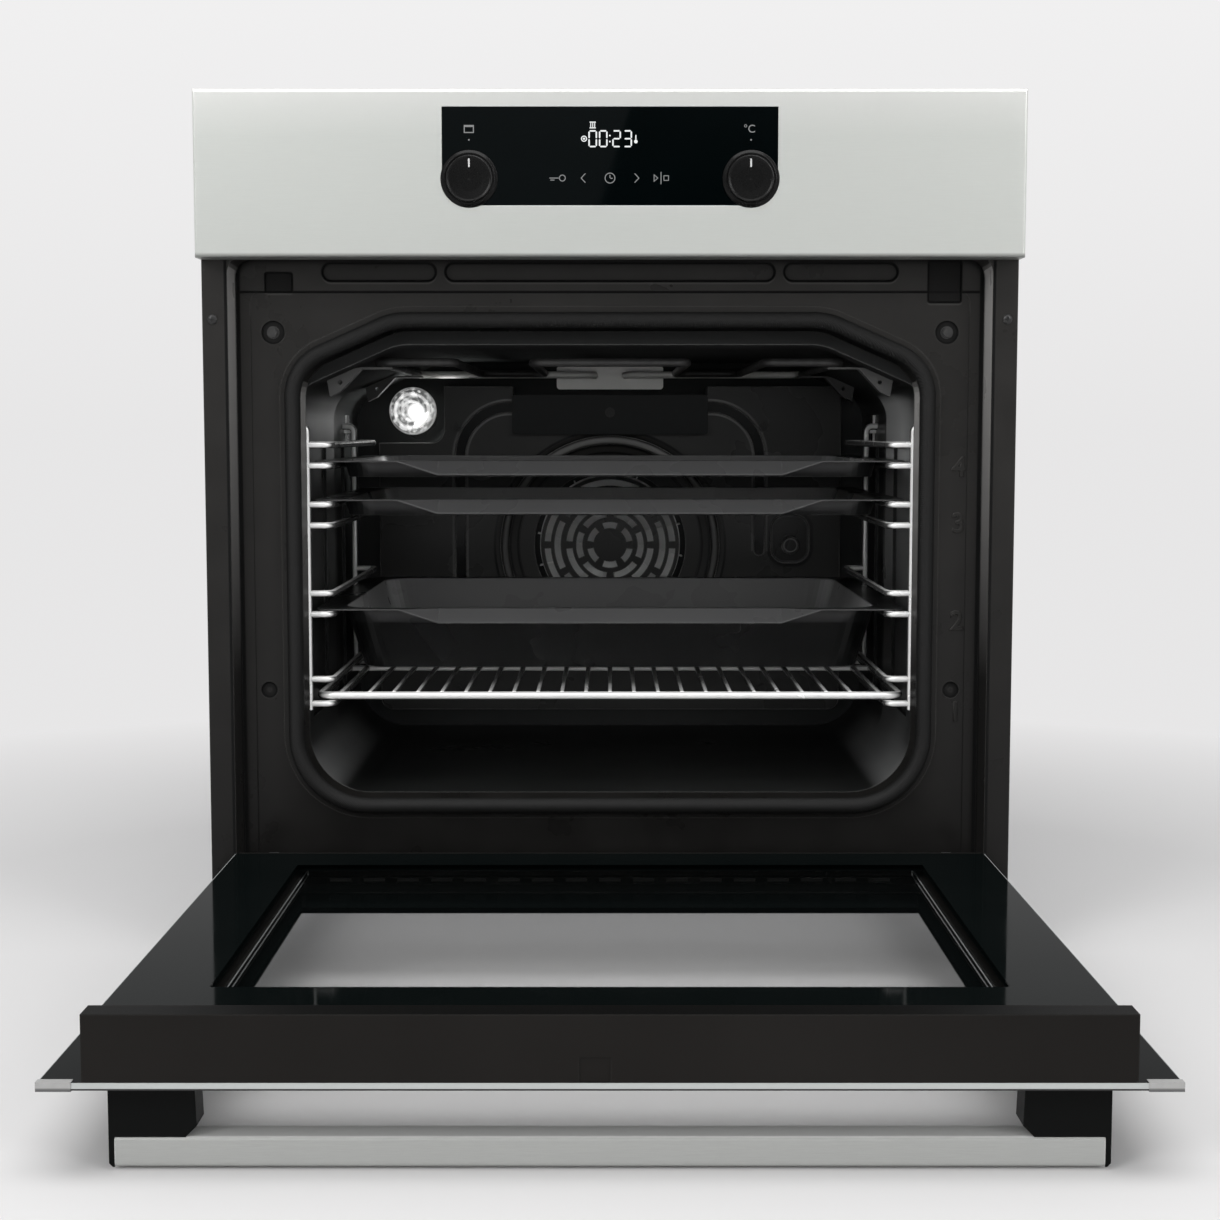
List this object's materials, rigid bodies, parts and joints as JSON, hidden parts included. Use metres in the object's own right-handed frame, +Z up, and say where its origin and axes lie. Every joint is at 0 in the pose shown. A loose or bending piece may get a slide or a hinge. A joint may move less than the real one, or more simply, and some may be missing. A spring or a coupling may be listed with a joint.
{
  "type": "built-in wall oven",
  "caption": "Built-in wall oven with an open drop-down glass door, bar handle, control panel with retractable knobs, wire side guides, trays, deep pan, wire shelf, grill and hot-air fan.",
  "frame": {"origin": "centre of the housing's underside, which rests on the cabinet shelf", "axes": "+X to the right seen from the front, -Y out of the front towards the user, +Z up"},
  "size_m": [0.596, 1.0065, 0.631],
  "materials": {
    "enamel": "glossy black vitreous enamel",
    "seal": "matt black",
    "stainless": "finely brushed stainless steel",
    "window_glass": "glossy black glass",
    "black_plastic": "satin black",
    "circuit_board": "solder-masked board",
    "switch_plastic": "ivory thermoset",
    "zinc_steel": "galvanised sheet",
    "hinge_steel": "zinc plated steel",
    "chrome_wire": "bright chrome plating",
    "heater_tube": "oxidised heater sheath",
    "fan_steel": "stamped sheet",
    "motor_metal": "plain motor steel",
    "blower_plastic": "heat-proof plastic",
    "tray_enamel": "dark grey speckled enamel",
    "fixings": "blackened screws",
    "lamp_ceramic": "glazed ceramic",
    "lamp_glass": "pressed clear glass",
    "bulb_glass": "clear bulb",
    "insulation": "glass wool blanket",
    "terminal_plastic": "off-white",
    "door_glass_outer": "black-printed tempered glass with a clear window",
    "door_glass_inner": "black-printed heat-reflecting glass with a clear window",
    "door_glass_middle": "clear glass",
    "door_metal": "satin black",
    "cap_plastic": "light grey"
  },
  "bodies": {
    "oven": {"front_frame": "enamel", "door_seal": "seal", "control_panel": "stainless", "panel_glass": "window_glass", "panel_carrier": "black_plastic", "display_board": "circuit_board", "knob_rings": "black_plastic", "function_switch": "switch_plastic", "temperature_switch": "switch_plastic", "cavity_liner": "enamel", "cavity_rear_wall": "enamel", "fan_cover": "enamel", "vent_cover": "enamel", "cavity_screws": "fixings", "fan_motor": "motor_metal", "ring_heater": "heater_tube", "grill_element": "heater_tube", "grill_brackets": "enamel", "base_heater": "heater_tube", "lamp_housing": "lamp_ceramic", "lamp_glass": "lamp_glass", "lamp_bulb": "bulb_glass", "guide_left": "chrome_wire", "guide_right": "chrome_wire", "guide_fixings": "chrome_wire", "insulation": "insulation", "casing_wrap": "zinc_steel", "top_cover": "zinc_steel", "rear_cover": "zinc_steel", "air_duct": "zinc_steel", "blower_housing": "blower_plastic", "blower_motor": "motor_metal", "terminal_box": "terminal_plastic", "hinge_channel_left": "hinge_steel", "hinge_channel_right": "hinge_steel", "hinge_pins": "hinge_steel", "hinge_springs": "hinge_steel"},
    "function_spindle": {"function_spindle": "hinge_steel"},
    "function_knob": {"function_knob": "black_plastic"},
    "temperature_spindle": {"temperature_spindle": "hinge_steel"},
    "temperature_knob": {"temperature_knob": "black_plastic"},
    "convection_fan": {"convection_fan": "fan_steel"},
    "blower_rotor": {"blower_rotor": "blower_plastic"},
    "upper_tray": {"tray_upper": "tray_enamel"},
    "lower_tray": {"tray_lower": "tray_enamel"},
    "deep_pan": {"deep_pan": "tray_enamel"},
    "wire_shelf": {"wire_shelf": "chrome_wire"},
    "hinge_links": {"hinge_links": "hinge_steel"},
    "door": {"door_outer_glass": "door_glass_outer", "door_middle_glass": "door_glass_middle", "door_inner_glass": "door_glass_inner", "door_rail_left": "door_metal", "door_rail_right": "door_metal", "door_bottom_rail": "black_plastic", "door_top_trim": "door_metal", "hinge_arm_left": "hinge_steel", "hinge_arm_right": "hinge_steel", "handle_bar": "stainless", "handle_mounts": "black_plastic", "door_corner_caps": "cap_plastic"}
  },
  "joints": [
    {"name": "door_hinge", "type": "hinge", "parent": "oven", "child": "door", "pos_m": [0, -0.2835, 0.018], "axis": [1, 0, 0], "range_deg": [-90, 0]},
    {"name": "hinge_pull", "type": "slide", "parent": "oven", "child": "hinge_links", "axis": [0, 1, 0], "range_m": [0, 0.0141]},
    {"name": "function_turn", "type": "hinge", "parent": "oven", "child": "function_spindle", "pos_m": [-0.1005, -0.275, 0.5263], "axis": [0, 1, 0], "continuous": true},
    {"name": "function_push", "type": "slide", "parent": "function_spindle", "child": "function_knob", "axis": [0, -1, 0], "range_m": [0, 0.016]},
    {"name": "temperature_turn", "type": "hinge", "parent": "oven", "child": "temperature_spindle", "pos_m": [0.1005, -0.275, 0.5263], "axis": [0, 1, 0], "range_deg": [0, 270]},
    {"name": "temperature_push", "type": "slide", "parent": "temperature_spindle", "child": "temperature_knob", "axis": [0, -1, 0], "range_m": [0, 0.016]},
    {"name": "convection_spin", "type": "hinge", "parent": "oven", "child": "convection_fan", "pos_m": [0, 0.135, 0.241], "axis": [0, 1, 0], "continuous": true},
    {"name": "blower_spin", "type": "hinge", "parent": "oven", "child": "blower_rotor", "pos_m": [0, 0.145, 0.5], "axis": [0, 0, 1], "continuous": true},
    {"name": "upper_tray_slide", "type": "slide", "parent": "oven", "child": "upper_tray", "axis": [0, -1, 0], "range_m": [0, 0.25]},
    {"name": "lower_tray_slide", "type": "slide", "parent": "oven", "child": "lower_tray", "axis": [0, -1, 0], "range_m": [0, 0.25]},
    {"name": "deep_pan_slide", "type": "slide", "parent": "oven", "child": "deep_pan", "axis": [0, -1, 0], "range_m": [0, 0.25]},
    {"name": "shelf_slide", "type": "slide", "parent": "oven", "child": "wire_shelf", "axis": [0, -1, 0], "range_m": [0, 0.25]}
  ],
  "couplings": [
    {"joint": "hinge_pull", "follows": "door_hinge", "m_per_rad": -0.0089127}
  ]
}
